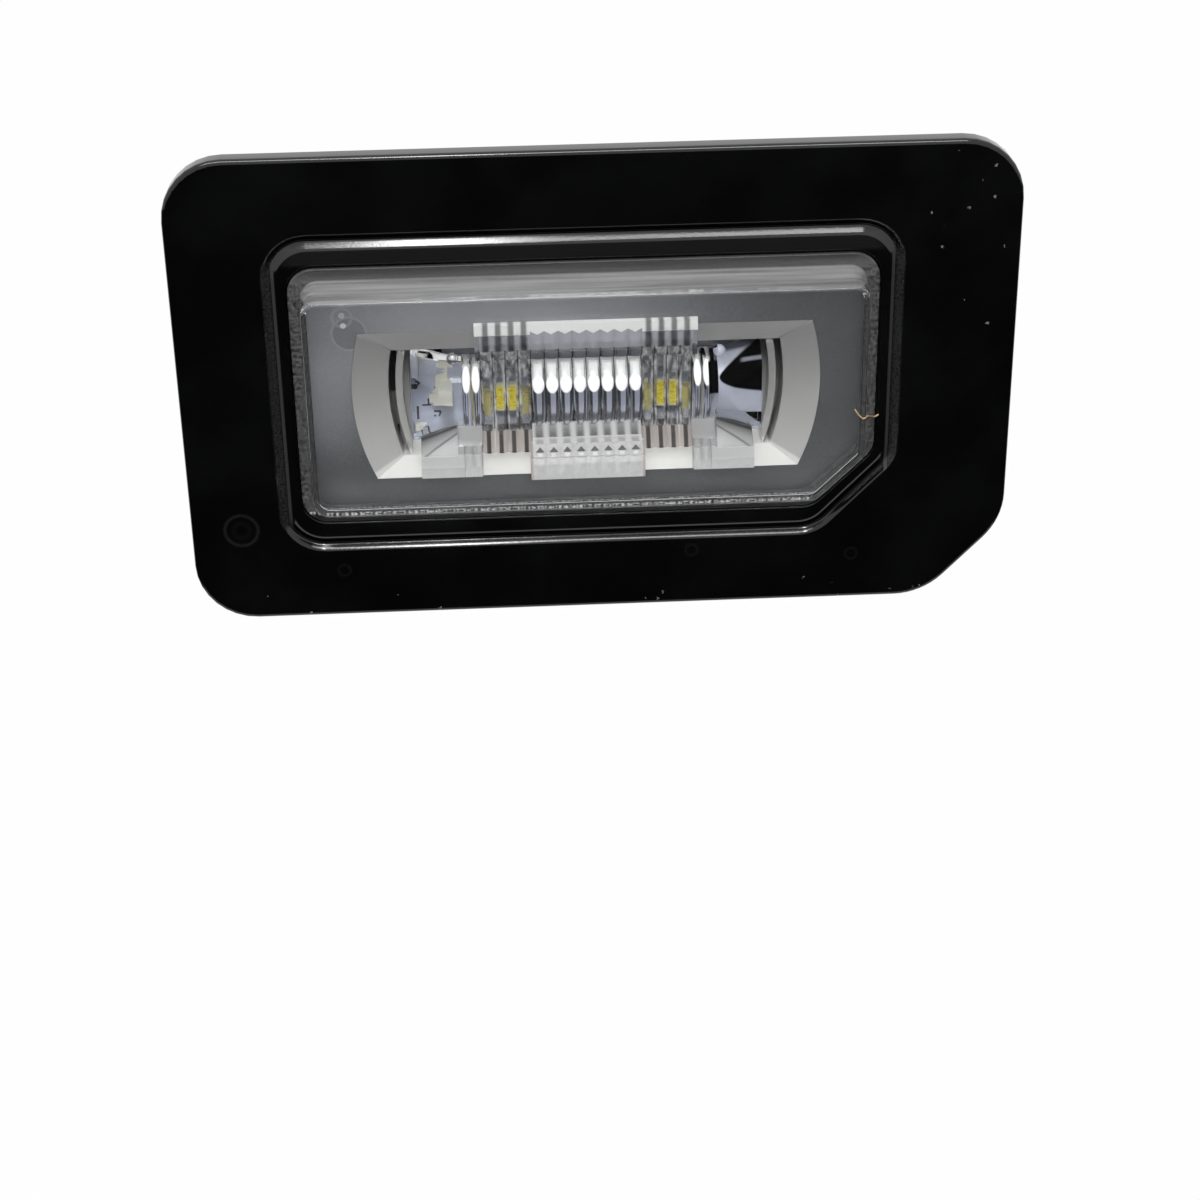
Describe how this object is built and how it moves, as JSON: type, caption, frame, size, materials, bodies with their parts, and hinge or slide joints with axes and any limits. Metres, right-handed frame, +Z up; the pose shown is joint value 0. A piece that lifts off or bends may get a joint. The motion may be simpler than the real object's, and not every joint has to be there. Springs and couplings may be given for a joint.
{
  "type": "number plate lamp",
  "caption": "Flat car number plate lamp: black flanged housing with a cut corner, clear domed lens over a grey mask, white trough reflector and fluted LED light bar.",
  "frame": {"origin": "centre of the flange's back face, which lies on the car's panel with the gasket between", "axes": "+X along the flange's length to the right as seen from the front, +Y into the panel, +Z up across the flange; the lens looks towards -Y"},
  "size_m": [0.082, 0.0299, 0.048],
  "materials": {
    "black_plastic": "glossy black moulding",
    "clear_lens": "clear moulded acrylic, polished",
    "bond": "mottled bonding bead",
    "grey_plastic": "fine satin grain",
    "white_plastic": "satin white reflector plastic",
    "clear_optic": "clear moulded optic, frosted tabs",
    "board": "white solder resist",
    "led_package": "white moulded package",
    "phosphor": "yellow phosphor in clear resin",
    "black_component": "black epoxy",
    "tan_component": "ceramic chip",
    "terminal": "tinned brass",
    "foam": "closed-cell foam",
    "spring_steel": "bright rolled spring steel",
    "membrane": "fine woven membrane"
  },
  "bodies": {
    "root": {"housing": "black_plastic", "lens": "clear_lens", "lens_seal": "bond", "mask": "grey_plastic", "reflector": "white_plastic", "optic_bar": "clear_optic", "circuit_board": "board", "led_left": "led_package", "led_right": "led_package", "led_left_phosphor": "phosphor", "led_right_phosphor": "phosphor", "diode": "black_component", "chip_resistors": "black_component", "chip_capacitors": "tan_component", "terminal_left": "terminal", "terminal_right": "terminal", "gasket": "foam", "spring_clip": "spring_steel", "vent_membrane": "membrane"}
  },
  "joints": []
}
